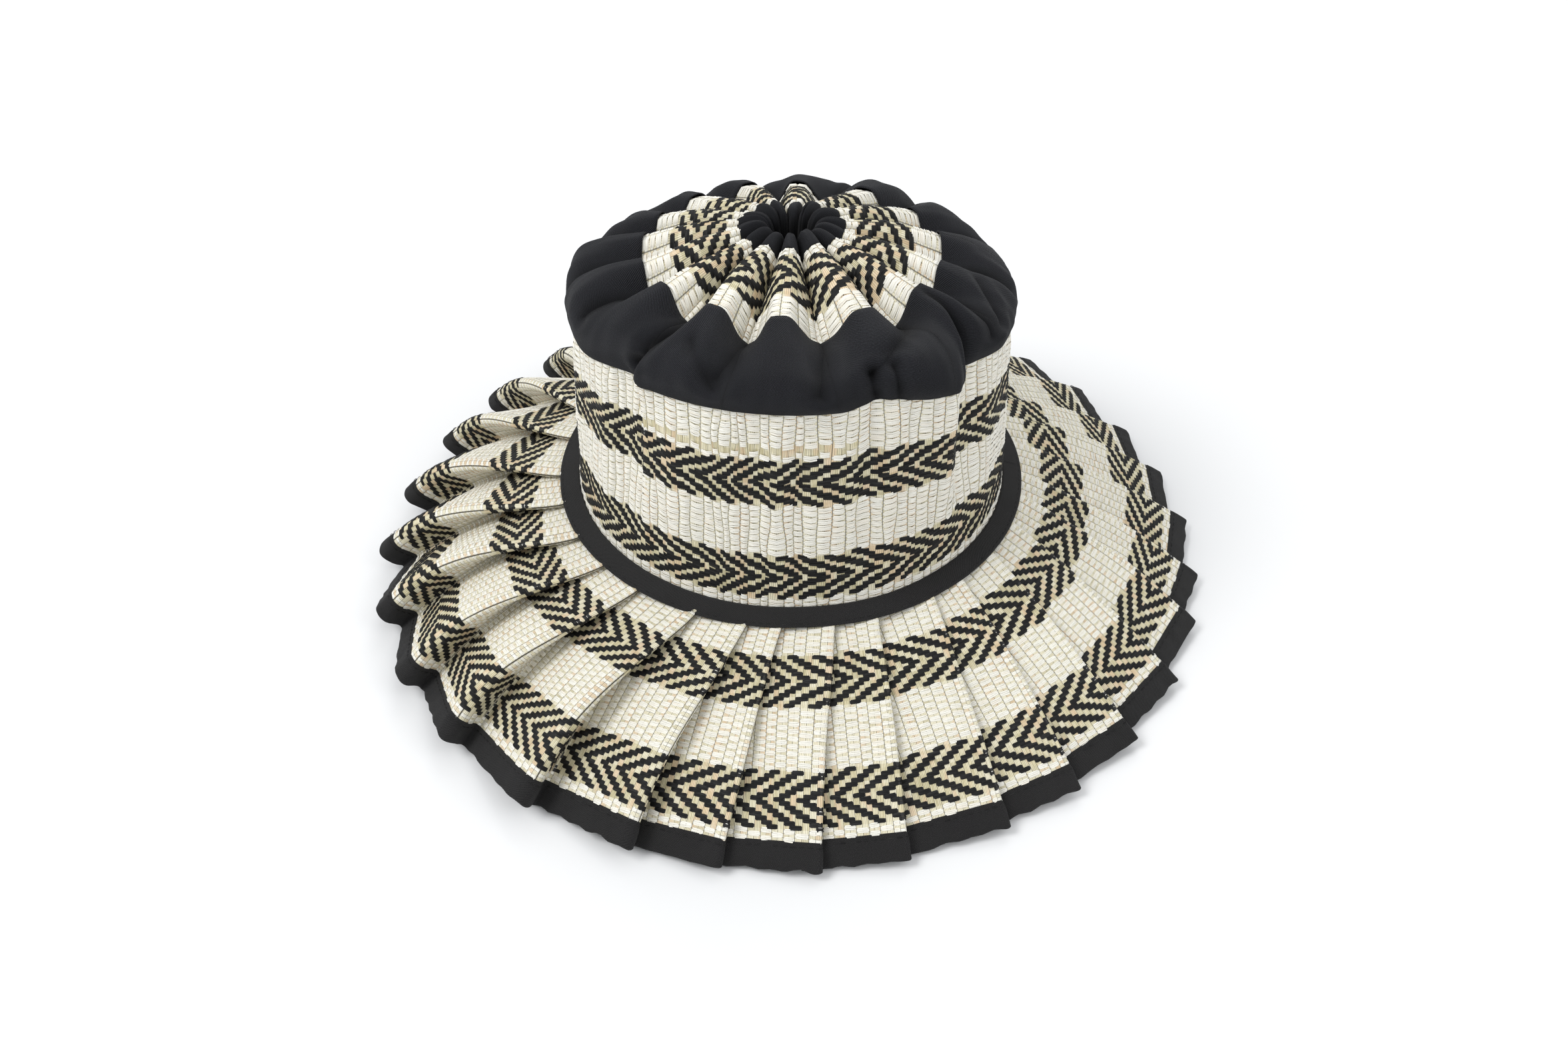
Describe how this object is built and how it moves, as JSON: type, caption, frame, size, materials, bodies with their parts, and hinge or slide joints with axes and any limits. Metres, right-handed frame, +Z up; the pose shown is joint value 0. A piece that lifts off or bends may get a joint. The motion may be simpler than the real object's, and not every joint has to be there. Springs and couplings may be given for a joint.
{
  "type": "pleated straw sun hat",
  "caption": "Wide-brimmed sun hat of flat woven straw mat, brim knife-pleated and bound, gathered cloth shoulder and a radially pleated crown top.",
  "frame": {"origin": "the middle of the whole brim's outline, on the surface that the brim rests on; the crown's axis stands 0.5 mm to its +X side and 3.2 mm to its +Y side", "axes": "+Z up through the crown, -Y to the hat's front as the picture shows it, +X to the viewer's right"},
  "size_m": [0.3613, 0.3639, 0.1682],
  "materials": {
    "straw": "dry woven straw in natural white, tan and black",
    "black_twill": "matt black cotton twill"
  },
  "bodies": {
    "root": {"brim_mat": "straw", "brim_binding": "black_twill", "hat_band": "black_twill", "crown_side": "straw", "crown_ring": "black_twill", "crown_top_mat": "straw", "crown_centre": "black_twill"}
  },
  "joints": []
}
